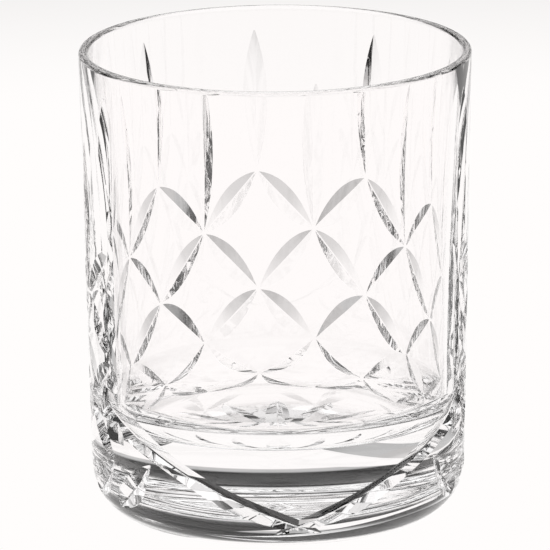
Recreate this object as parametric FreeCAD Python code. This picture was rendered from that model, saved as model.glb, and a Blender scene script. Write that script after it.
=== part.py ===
"""Cut-crystal whiskey tumbler: one piece of clear glass, blown, then cut on a wheel.

The tumbler stands on its base at z = 0 with its axis along +Z.  The plain panel
faces -Y and the middle of the lattice faces +Y.  Azimuths are in degrees from the
middle of the panel, positive towards +X.  All lengths are in millimetres.
"""
import FreeCAD, Part
import math
import os
from FreeCAD import Vector

# Blank: the glass before it is cut.
HEIGHT = 95.0
RIM_RADIUS = 39.2           # outside, at the top
BASE_RADIUS = 37.1          # outside, where the straight wall would meet z = 0
BASE_CORNER = 10.5          # rounding between the wall and the underside
LIP_THICKNESS = 1.9         # fire-polished lip
WALL_HIGH = 3.0             # wall 15 mm under the rim
WALL_LOW = 4.3              # wall where the cavity starts to close
BOWL_Z = 27.1               # height where the cavity starts to close
FLOOR_Z = 19.7              # inside floor, a heavy sham base
FLOOR_RADIUS = 22.6
FLOOR_DISH = 0.4            # the floor is this much lower in the middle
PUSH_UP = 0.6               # hollow in the underside
PUSH_UP_RADIUS = 24.0

# Cutting wheels: a mitre edge with two flanks and a narrow worn crown.
FLANK_DEG = 25.0            # flank against the glass surface
CROWN = 0.3
WHEEL_BODY = 3.2            # how far the modelled edge stands out of the glass

# Lattice of leaf cuts.  Steps are counted from the middle of the back.
STEPS_ROUND = 19            # steps in a full turn
STEP_DEG = 360.0 / STEPS_ROUND
LAST_STEP = 6               # the border cut's step; the panel lies beyond it
NODE_Z = (58.3, 47.3, 35.7, 25.8, 15.4, 5.6)
NODE_GAP = 0.55             # each leaf stops this far from its node
LEAF_LENGTH = 30.9
LEAF_DEPTH = 1.25
DIAGONAL_DEPTH = 1.05
LEAF_BITE = 0.5             # least depth of a leaf under the straight line between its tips

# Panel border: two long upright cuts and two slanting ones that cross in front.
BORDER_TOP_Z = 89.5
BORDER_LOW_Z = 19.0
BORDER_DEPTH = 0.95
BORDER_FLANK_DEG = 14.0
BORDER_WHEEL = 75.0
SWAG_CROSS_Z = 6.0          # height where the slanting cuts cross
SWAG_SLOPE = 0.26           # their rise for each degree of azimuth
SWAG_FLANK_DEG = 29.0
SWAG_MARKS = ((-7.0, 0.0), (30.0, 0.95), (72.0, 1.6))      # azimuth and depth of three points
CORNER_TIPS = ((49.0, 16.5), (66.5, 5.6))                  # leaves under the slanting cuts
CORNER_DEPTH = 1.6
CORNER_FLANK_DEG = 29.0

# Star cut in the underside.
STAR_RAYS = 16
STAR_TURN = -6.0            # azimuth of the first ray
STAR_INNER = 2.2
STAR_OUTER = 29.5           # the rays run out on the base corner
STAR_DEPTH = 1.35


def wall_radius(z):
    """Outside radius of the straight wall at height z."""
    return BASE_RADIUS + (RIM_RADIUS - BASE_RADIUS) * z / HEIGHT


def corner_centre():
    """Centre (r, z) of the base corner's arc, which is tangent to wall and base."""
    taper = math.atan2(RIM_RADIUS - BASE_RADIUS, HEIGHT)
    z = BASE_CORNER
    r = wall_radius(z) - BASE_CORNER / math.cos(taper)
    return r, z, taper


def surface(azimuth, z):
    """Point on the outside at this azimuth and height, and its outward normal."""
    r0, z0, taper = corner_centre()
    tangent_z = z0 - BASE_CORNER * math.sin(taper)
    if z >= tangent_z:
        r, tilt = wall_radius(z), -taper
    else:
        tilt = math.asin((z - z0) / BASE_CORNER)
        r = r0 + BASE_CORNER * math.cos(tilt)
    a = math.radians(azimuth)
    outward = Vector(math.sin(a), -math.cos(a), 0)
    point = outward * r + Vector(0, 0, z)
    normal = outward * math.cos(tilt) + Vector(0, 0, math.sin(tilt))
    return point, normal


def blank():
    """The uncut glass: a profile turned about the axis."""
    r0, z0, taper = corner_centre()
    rim = Vector(RIM_RADIUS, 0, HEIGHT)
    lip = LIP_THICKNESS / 2
    foot = Vector(r0, 0, 0)
    corner_mid = Vector(r0 + BASE_CORNER * math.cos(math.pi / 4), 0,
                        z0 - BASE_CORNER * math.sin(math.pi / 4))
    corner_top = Vector(r0 + BASE_CORNER * math.cos(taper), 0, z0 - BASE_CORNER * math.sin(taper))
    lip_z = HEIGHT - lip
    lip_out = Vector(wall_radius(lip_z), 0, lip_z)
    lip_top = Vector(wall_radius(HEIGHT) - lip, 0, HEIGHT)
    lip_in = Vector(wall_radius(lip_z) - LIP_THICKNESS, 0, lip_z)
    high_z = HEIGHT - 15.0
    high = Vector(wall_radius(high_z) - WALL_HIGH, 0, high_z)
    low = Vector(wall_radius(BOWL_Z) - WALL_LOW, 0, BOWL_Z)
    floor_edge = Vector(FLOOR_RADIUS, 0, FLOOR_Z)
    wide, tall = low.x - FLOOR_RADIUS, BOWL_Z - FLOOR_Z
    bowl = (wide ** 2 + tall ** 2) / (2 * tall)
    half_turn = math.atan2(wide, bowl - tall) / 2
    bend = Vector(FLOOR_RADIUS + bowl * math.sin(half_turn), 0,
                  FLOOR_Z + bowl * (1 - math.cos(half_turn)))
    floor_mid = Vector(0, 0, FLOOR_Z - FLOOR_DISH)
    edges = [
        Part.LineSegment(Vector(0, 0, PUSH_UP), Vector(PUSH_UP_RADIUS, 0, 0)),
        Part.LineSegment(Vector(PUSH_UP_RADIUS, 0, 0), foot),
        Part.Arc(foot, corner_mid, corner_top),
        Part.LineSegment(corner_top, lip_out),
        Part.Arc(lip_out, lip_top, lip_in),
        Part.Arc(lip_in, high, low),
        Part.Arc(low, bend, floor_edge),
        Part.LineSegment(floor_edge, floor_mid),
        Part.LineSegment(floor_mid, Vector(0, 0, PUSH_UP)),
    ]
    wire = Part.Wire([e.toShape() for e in edges])
    return Part.Face(wire).revolve(Vector(0, 0, 0), Vector(0, 0, 1), 360)


def mitre(start, middle, end, inward, flank=FLANK_DEG, reach=4.0, overrun=2.0):
    """A mitre wheel's sweep whose crown runs on the circle through three points.

    inward is the direction into the glass at the middle point; reach is half the
    width of the sweep, and overrun is how far it goes on past its two ends.
    """
    chord_a, chord_b = start - middle, end - middle
    axis = chord_a.cross(chord_b).normalize()
    circle = Part.Circle(start, middle, end)
    centre, radius = circle.Center, circle.Radius
    spoke = (middle - centre).normalize()
    side = 1.0 if spoke.dot(inward) > 0 else -1.0
    drop = (reach - CROWN / 2) * math.tan(math.radians(flank))
    body = drop + WHEEL_BODY
    outline = [(-reach, body), (-reach, drop), (-CROWN / 2, 0), (CROWN / 2, 0),
               (reach, drop), (reach, body)]

    def place(across, back, angle):
        turned = FreeCAD.Rotation(axis, angle).multVec(spoke)
        return centre + turned * (radius - side * back) + axis * across

    def swing(point):
        return math.degrees(spoke.getAngle((point - centre).normalize()))

    extra = math.degrees(overrun / radius)
    first = axis.dot(spoke.cross(start - centre)) < 0
    back_deg = swing(start if first else end) + extra
    ahead_deg = swing(end if first else start) + extra
    corners = [place(s, b, -back_deg) for s, b in outline]
    wire = Part.makePolygon(corners + [corners[0]])
    return Part.Face(wire).revolve(centre, axis, back_deg + ahead_deg)


def leaf(a0, z0, a1, z1, depth, **shape):
    """A leaf cut on the outside whose tips are at two azimuths and heights."""
    p0, _ = surface(a0, z0)
    p1, _ = surface(a1, z1)
    mid, normal = surface((a0 + a1) / 2, (z0 + z1) / 2)
    bulge = (mid - (p0 + p1) / 2).dot(normal)
    depth = max(depth, bulge + LEAF_BITE)
    return mitre(p0, mid - normal * depth, p1, -normal, **shape)


def step_azimuth(step):
    return 180.0 - step * STEP_DEG


def upright_leaves():
    """Upright leaves: high ones end at the first node row, low ones at the second."""
    cuts = []
    for step in range(-LAST_STEP + 1, LAST_STEP):
        z = NODE_Z[step % 2] + NODE_GAP
        a = step_azimuth(step)
        cuts.append(leaf(a, z, a, z + LEAF_LENGTH, LEAF_DEPTH))
    return cuts


def diagonals():
    """Slanting leaves from each node to its two neighbours in the row below."""
    cuts = []
    for row in range(len(NODE_Z) - 1):
        top, low = NODE_Z[row], NODE_Z[row + 1]
        for step in range(-LAST_STEP, LAST_STEP + 1):
            if step % 2 != row % 2:
                continue
            for side in (-1, 1):
                if abs(step + side) > LAST_STEP:
                    continue
                a0, a1 = step_azimuth(step), step_azimuth(step + side)
                arc = math.radians(abs(a1 - a0)) * wall_radius(top)
                trim = NODE_GAP / math.hypot(arc, top - low)
                da, dz = (a1 - a0) * trim, (low - top) * trim
                cuts.append(leaf(a0 + da, top + dz, a1 - da, low - dz, DIAGONAL_DEPTH))
    return cuts


def border_uprights():
    """Long upright cuts on both sides of the panel: a straight run and a run-out."""
    cuts = []
    half = math.sqrt(2 * BORDER_WHEEL * BORDER_DEPTH)
    for side in (-1, 1):
        a = side * (180.0 - LAST_STEP * STEP_DEG)
        turn_z = BORDER_TOP_Z - half
        tip, _ = surface(a, BORDER_TOP_Z)
        foot, _ = surface(a, turn_z - half)
        deep, normal = surface(a, turn_z)
        deep = deep - normal * BORDER_DEPTH
        low, low_normal = surface(a, BORDER_LOW_Z)
        low = low - low_normal * BORDER_DEPTH
        cuts.append(mitre(tip, deep, foot, -normal, flank=BORDER_FLANK_DEG, reach=6.0))
        cuts.append(straight_mitre(deep, low, normal, BORDER_FLANK_DEG, 6.0))
    return cuts


def straight_mitre(start, end, normal, flank, reach):
    """A straight mitre groove from start to end, both on its crown."""
    across = (end - start).cross(normal).normalize()
    drop = (reach - CROWN / 2) * math.tan(math.radians(flank))
    body = drop + WHEEL_BODY
    outline = [(-reach, body), (-reach, drop), (-CROWN / 2, 0), (CROWN / 2, 0),
               (reach, drop), (reach, body)]
    corners = [start + across * s + normal * b for s, b in outline]
    wire = Part.makePolygon(corners + [corners[0]])
    return Part.Face(wire).extrude(end - start)


def swags():
    """Two slanting cuts that cross low in front of the panel."""
    cuts = []
    for side in (-1, 1):
        marks = []
        for azimuth, depth in SWAG_MARKS:
            z = SWAG_CROSS_Z + SWAG_SLOPE * azimuth
            point, normal = surface(side * azimuth, z)
            marks.append((point - normal * depth, normal))
        (start, _), (middle, normal), (end, _) = marks
        cuts.append(mitre(start, middle, end, -normal, flank=SWAG_FLANK_DEG))
    return cuts


def corner_leaves():
    """A broad leaf under each slanting cut, wrapped round the base corner."""
    (a0, z0), (a1, z1) = CORNER_TIPS
    return [leaf(side * a0, z0, side * a1, z1, CORNER_DEPTH, flank=CORNER_FLANK_DEG)
            for side in (-1, 1)]


def star():
    """Radial leaves in the underside."""
    cuts = []
    for ray in range(STAR_RAYS):
        turn = math.radians(STAR_TURN + 360.0 * ray / STAR_RAYS)
        out = Vector(math.sin(turn), -math.cos(turn), 0)
        slope = PUSH_UP / PUSH_UP_RADIUS

        inner = out * STAR_INNER + Vector(0, 0, PUSH_UP - slope * STAR_INNER)
        outer = out * STAR_OUTER + Vector(0, 0, BASE_CORNER - math.sqrt(
            BASE_CORNER ** 2 - (STAR_OUTER - corner_centre()[0]) ** 2))
        middle = (inner + outer) / 2
        middle.z = STAR_DEPTH
        cuts.append(mitre(inner, middle, outer, Vector(0, 0, 1)))
    return cuts


def tumbler():
    cuts = upright_leaves() + diagonals() + border_uprights() + swags() + corner_leaves() + star()
    return blank().cut(cuts).removeSplitter()


def main():
    os.makedirs("parts", exist_ok=True)
    tumbler().exportStep("parts/glass_body.step")


main()
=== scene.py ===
"""Cut-crystal whiskey tumbler on a pale floor in soft studio light."""
import math

import bpy
import numpy as np
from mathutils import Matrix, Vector

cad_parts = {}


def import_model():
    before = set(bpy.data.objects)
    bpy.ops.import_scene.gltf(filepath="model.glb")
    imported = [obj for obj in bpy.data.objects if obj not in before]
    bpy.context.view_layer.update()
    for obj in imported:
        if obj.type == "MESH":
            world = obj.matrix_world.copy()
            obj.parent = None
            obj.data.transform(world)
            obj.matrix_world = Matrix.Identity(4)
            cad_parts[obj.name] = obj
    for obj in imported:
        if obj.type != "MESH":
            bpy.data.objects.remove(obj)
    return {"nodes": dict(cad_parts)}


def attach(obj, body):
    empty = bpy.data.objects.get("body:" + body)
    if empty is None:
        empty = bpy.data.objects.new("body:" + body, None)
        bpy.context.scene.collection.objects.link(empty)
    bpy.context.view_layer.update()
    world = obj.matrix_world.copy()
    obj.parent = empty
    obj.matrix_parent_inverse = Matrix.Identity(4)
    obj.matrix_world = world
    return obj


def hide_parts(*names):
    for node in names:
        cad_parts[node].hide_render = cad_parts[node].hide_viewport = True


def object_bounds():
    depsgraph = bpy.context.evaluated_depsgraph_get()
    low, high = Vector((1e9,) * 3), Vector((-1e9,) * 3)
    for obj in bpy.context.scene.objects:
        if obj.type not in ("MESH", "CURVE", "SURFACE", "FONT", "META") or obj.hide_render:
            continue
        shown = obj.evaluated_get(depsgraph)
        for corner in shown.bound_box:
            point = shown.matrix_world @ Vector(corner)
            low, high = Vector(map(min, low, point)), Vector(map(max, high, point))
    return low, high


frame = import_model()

CAD_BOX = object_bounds()

# Camera: a long lens, a little above the rim, as in a catalogue picture.
VIEW_AZIMUTH = -6.3
VIEW_ELEVATION = 14.2
VIEW_ROLL = 0.44
DISTANCE_IN_HEIGHTS = 25.0
HEIGHT_IN_PICTURE = 0.8636
CENTRE_RIGHT = 0.0033
CENTRE_DOWN = 0.0073
SENSOR_WIDTH = 36.0

PAPER = (1.0, 0.982, 0.974)  # the pale floor
FLOOR_REACH = 20.0
FLOOR_GAP = 0.0002          # the foot never shares a plane with the floor
STUDIO = [(0, 0.5), (1, 0.5), (3, 0.0), (22, 0.0), (34, 0.8), (46, 1.1), (70, 1.1),
          (90, 0.4)]        # degrees above the horizon, brightness
# painted pool of light on the floor: the floor's own glow is brightest round the axis and falls to
# half far out
PAINTED_POOL_OF_LIGHT = [(0, 1.0), (0.35, 1.0), (0.7, 0.65), (1.4, 0.5), (4, 0.5)]  # metres from the axis, brightness
CRYSTAL_IOR = 1.53
WAVE_SCALE = 90.0           # slow waviness of blown glass, about one wave in 11 mm
WAVE_HEIGHT = 0.00003
WAVE_STRENGTH = 0.35
HAZE_SCALE = 450.0          # faint patches of wear in the polish
HAZE = 0.012                # roughness in the middle of a patch
HAZE_FROM, HAZE_TO = 0.45, 0.8          # share of the noise that is worn
FIT_LIMIT = 2e-6            # how far a point may lie from a fitted surface, in metres
FIT_AGREES = 0.97           # least mean cosine between fitted and mesh normals


def surfaces_of(triangles, count):
    """A number for each vertex, the same for vertices that triangles join: the CAD
    mesh shares no vertex across a sharp edge, so each number is one ground surface."""
    sides = np.concatenate([triangles[:, [0, 1]], triangles[:, [1, 2]], triangles[:, [2, 0]]])
    label = np.arange(count)
    while True:
        low = np.minimum(label[sides[:, 0]], label[sides[:, 1]])
        merged = label.copy()
        np.minimum.at(merged, sides[:, 0], low)
        np.minimum.at(merged, sides[:, 1], low)
        merged = merged[merged]
        if (merged == label).all():
            return np.unique(label, return_inverse=True)[1]
        label = merged


def turned_normals(points):
    """Normals of a surface turned about the axis with a straight or round outline,
    and the worst distance of a point from it."""
    r = np.hypot(points[:, 0], points[:, 1])
    z = points[:, 2]
    flat = np.c_[r, z]
    middle = flat.mean(0)
    across = np.linalg.svd(flat - middle, full_matrices=False)[2][1]
    miss = np.abs((flat - middle) @ across).max()
    slope = np.tile(across, (len(points), 1))
    if miss > FIT_LIMIT:
        grid = np.c_[r, z, np.ones_like(r)]
        answer = np.linalg.lstsq(grid, r * r + z * z, rcond=None)[0]
        centre = answer[:2] / 2
        spoke = flat - centre
        radius = math.sqrt(max(answer[2] + centre @ centre, 0))
        length = np.hypot(spoke[:, 0], spoke[:, 1])
        miss = np.abs(length - radius).max()
        slope = spoke / length[:, None]
    outward = points[:, :2] / np.maximum(r, 1e-9)[:, None]
    return np.c_[outward * slope[:, :1], slope[:, 1]], miss


def facet_normals(points):
    """Normals of a wheel-cut facet: a smooth polynomial through its points."""
    middle = points.mean(0)
    frame_axes = np.linalg.svd(points - middle, full_matrices=False)[2]
    s, t, w = ((points - middle) @ frame_axes.T).T
    scale = max(np.abs(s).max(), 1e-9)
    s, t, w = s / scale, t / scale, w / scale
    zero, one = np.zeros_like(s), np.ones_like(s)
    terms = [(one, zero, zero), (s, one, zero), (t, zero, one), (s * s, 2 * s, zero), (s * t, t, s),
             (t * t, zero, 2 * t), (s ** 3, 3 * s * s, zero), (s * s * t, 2 * s * t, s * s),
             (s ** 4, 4 * s ** 3, zero)]
    if len(points) < 10:
        terms = terms[:3]
    elif len(points) < 16:
        terms = terms[:6]
    factors = np.linalg.lstsq(np.stack([x[0] for x in terms], 1), w, rcond=None)[0]
    ds = sum(k * x[1] for k, x in zip(factors, terms))
    dt = sum(k * x[2] for k, x in zip(factors, terms))
    normal = np.c_[-ds, -dt, one] @ frame_axes
    return normal / np.linalg.norm(normal, axis=1)[:, None]


def polished(source):
    """The CAD glass with the exact normals of its ground and polished surfaces."""
    mesh = source.data.copy()
    count = len(mesh.vertices)
    points = np.empty(count * 3)
    mesh.vertices.foreach_get("co", points)
    points = points.reshape(-1, 3)
    triangles = np.empty(len(mesh.loops), int)
    mesh.loops.foreach_get("vertex_index", triangles)
    triangles = triangles.reshape(-1, 3)
    corner = points[triangles]
    flat = np.cross(corner[:, 1] - corner[:, 0], corner[:, 2] - corner[:, 0])
    rough = np.zeros_like(points)
    for k in range(3):
        np.add.at(rough, triangles[:, k], flat)
    rough /= np.maximum(np.linalg.norm(rough, axis=1), 1e-18)[:, None]
    surface = surfaces_of(triangles, count)
    normals = rough.copy()
    order = np.argsort(surface, kind="stable")
    for members in np.split(order, np.cumsum(np.bincount(surface))[:-1]):
        exact, miss = turned_normals(points[members])
        agree = np.abs((exact * rough[members]).sum(1)).mean()
        if miss > FIT_LIMIT or agree < FIT_AGREES:
            if len(members) < 6:
                continue
            exact = facet_normals(points[members])
        facing = np.sign((exact * rough[members]).sum(1))[:, None]
        normals[members] = exact * np.where(facing == 0, 1, facing)
    mesh.normals_split_custom_set_from_vertices(normals.tolist())
    piece = bpy.data.objects.new("cut_glass", mesh)
    bpy.context.scene.collection.objects.link(piece)
    return piece


def nodes_of(tree):
    tree.nodes.clear()
    return tree.nodes, tree.links


def crystal():
    """Clear crystal: slow waviness from the blowing and a faint uneven polish."""
    mat = bpy.data.materials.new("crystal")
    mat.use_nodes = True
    nodes, links = nodes_of(mat.node_tree)
    out = nodes.new("ShaderNodeOutputMaterial")
    glass = nodes.new("ShaderNodeBsdfPrincipled")
    glass.inputs["Base Color"].default_value = (1, 0.99, 0.99, 1)
    glass.inputs["IOR"].default_value = CRYSTAL_IOR
    glass.inputs["Transmission Weight"].default_value = 1.0
    coord = nodes.new("ShaderNodeTexCoord")
    wave = noise_node(nodes, links, coord, WAVE_SCALE, 2.0)
    bump = nodes.new("ShaderNodeBump")
    bump.inputs["Strength"].default_value = WAVE_STRENGTH
    bump.inputs["Distance"].default_value = WAVE_HEIGHT
    links.new(wave, bump.inputs["Height"])
    links.new(bump.outputs[0], glass.inputs["Normal"])
    wear = nodes.new("ShaderNodeMapRange")
    wear.inputs["From Min"].default_value = HAZE_FROM
    wear.inputs["From Max"].default_value = HAZE_TO
    wear.inputs["To Max"].default_value = HAZE
    links.new(noise_node(nodes, links, coord, HAZE_SCALE, 4.0), wear.inputs["Value"])
    links.new(wear.outputs[0], glass.inputs["Roughness"])
    links.new(glass.outputs[0], out.inputs["Surface"])
    return mat


def noise_node(nodes, links, coord, scale, detail):
    noise = nodes.new("ShaderNodeTexNoise")
    noise.inputs["Scale"].default_value = scale
    noise.inputs["Detail"].default_value = detail
    links.new(coord.outputs["Object"], noise.inputs["Vector"])
    return noise.outputs[0]


def math_node(nodes, links, kind, *values):
    node = nodes.new("ShaderNodeMath")
    node.operation = kind
    for slot, value in zip(node.inputs, values):
        if isinstance(value, (int, float)):
            slot.default_value = value
        else:
            links.new(value, slot)
    return node.outputs[0]


def ramp_node(nodes, links, value, stops):
    """Brightness over value, rising and falling smoothly between (value, brightness) stops."""
    low, high = stops[0][0], stops[-1][0]
    place = nodes.new("ShaderNodeMapRange")
    place.inputs["From Min"].default_value = low
    place.inputs["From Max"].default_value = high
    links.new(value, place.inputs["Value"])
    ramp = nodes.new("ShaderNodeValToRGB")
    ramp.color_ramp.interpolation = "EASE"
    marks = ramp.color_ramp.elements
    while len(marks) < len(stops):
        marks.new(0.5)
    for mark, (at, grey) in zip(marks, stops):
        mark.position = (at - low) / (high - low)
        mark.color = (grey, grey, grey, 1)
    links.new(place.outputs[0], ramp.inputs[0])
    return ramp.outputs[0]


def world():
    """A wide soft light overhead in a dim room, the same in every direction."""
    w = bpy.data.worlds.new("studio")
    bpy.context.scene.world = w
    w.use_nodes = True
    nodes, links = nodes_of(w.node_tree)
    out = nodes.new("ShaderNodeOutputWorld")
    room = nodes.new("ShaderNodeBackground")
    coord = nodes.new("ShaderNodeTexCoord")
    sep = nodes.new("ShaderNodeSeparateXYZ")
    links.new(coord.outputs["Generated"], sep.inputs[0])
    rise = math_node(nodes, links, "DEGREES", math_node(nodes, links, "ARCSINE", sep.outputs["Z"]))
    links.new(ramp_node(nodes, links, rise, STUDIO), room.inputs[0])
    links.new(room.outputs[0], out.inputs[0])


def floor():
    """One pale sheet that runs on to the horizon; its glow is a painted pool of light, brightest
    round the axis and dimmer further out.
    """
    bpy.ops.mesh.primitive_circle_add(vertices=96, radius=FLOOR_REACH, fill_type="NGON")
    obj = bpy.context.object
    obj.name = "floor"
    obj.location.z = -FLOOR_GAP
    mat = bpy.data.materials.new("floor_white")
    mat.use_nodes = True
    nodes, links = nodes_of(mat.node_tree)
    out = nodes.new("ShaderNodeOutputMaterial")
    glow = nodes.new("ShaderNodeEmission")
    place = nodes.new("ShaderNodeNewGeometry")
    away = nodes.new("ShaderNodeVectorMath")
    away.operation = "LENGTH"
    links.new(place.outputs["Position"], away.inputs[0])
    glow.inputs[0].default_value = (*PAPER, 1)
    # painted pool of light: the floor's glow dims with distance from the axis
    links.new(ramp_node(nodes, links, away.outputs["Value"], PAINTED_POOL_OF_LIGHT), glow.inputs["Strength"])
    links.new(glow.outputs[0], out.inputs["Surface"])
    obj.data.materials.append(mat)
    return obj


def camera():
    height = CAD_BOX[1][2] - CAD_BOX[0][2]
    aim = Vector((0, 0, height / 2))
    az, el = math.radians(VIEW_AZIMUTH), math.radians(VIEW_ELEVATION)
    away = Vector((math.sin(az) * math.cos(el), -math.cos(az) * math.cos(el), math.sin(el)))
    data = bpy.data.cameras.new("camera")
    obj = bpy.data.objects.new("camera", data)
    bpy.context.scene.collection.objects.link(obj)
    distance = DISTANCE_IN_HEIGHTS * height
    obj.location = aim + away * distance
    look = (-away).to_track_quat("-Z", "Y")
    obj.rotation_euler = (look.to_matrix().to_4x4()).to_euler()
    obj.rotation_euler.rotate_axis("Z", math.radians(-VIEW_ROLL))
    data.sensor_width = SENSOR_WIDTH
    data.lens = data.sensor_width * distance * HEIGHT_IN_PICTURE / height
    data.shift_x = -CENTRE_RIGHT
    data.shift_y = CENTRE_DOWN
    data.clip_end = 100
    bpy.context.scene.camera = obj


def look():
    scene = bpy.context.scene
    scene.view_settings.view_transform = "Standard"
    scene.cycles.max_bounces = 24
    scene.cycles.transmission_bounces = 24
    scene.cycles.glossy_bounces = 12
    scene.cycles.caustics_refractive = True


glass = polished(frame["nodes"]["glass_body"])
glass.data.materials.clear()
glass.data.materials.append(crystal())
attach(glass, "root")
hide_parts("glass_body")
world()
floor()
camera()
look()
